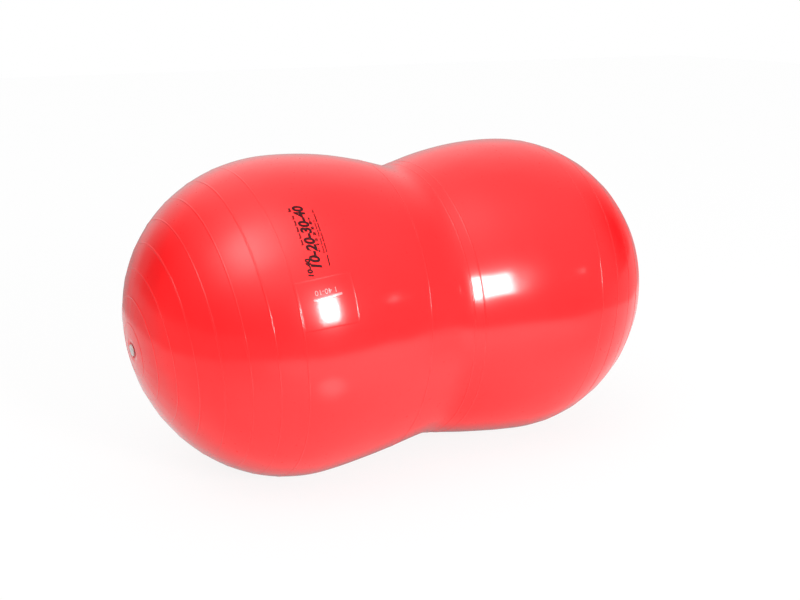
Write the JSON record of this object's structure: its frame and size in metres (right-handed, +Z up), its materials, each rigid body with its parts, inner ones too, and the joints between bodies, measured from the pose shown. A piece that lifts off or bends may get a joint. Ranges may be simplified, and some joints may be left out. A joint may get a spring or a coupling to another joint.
{
  "type": "physio roll",
  "caption": "Inflated two-lobed vinyl exercise roll with a shallow waist, a moulded-in valve seat and a push-in stopper at one end.",
  "frame": {"origin": "on the floor, below the middle of the roll", "axes": "+X along the roll away from the valve, +Z up"},
  "size_m": [0.6643, 0.3754, 0.3735],
  "materials": {
    "vinyl": "glossy soft vinyl, slightly translucent",
    "seat_vinyl": "satin moulded vinyl",
    "plug_plastic": "satin, light grey"
  },
  "bodies": {
    "roll": {"roll_skin": "vinyl", "valve_seat": "seat_vinyl"},
    "plug": {"valve_plug": "plug_plastic"}
  },
  "joints": [
    {"name": "plug_pull", "type": "slide", "parent": "roll", "child": "plug", "axis": [-0.9943, 0, -0.107], "range_m": [0, 0.03]}
  ]
}
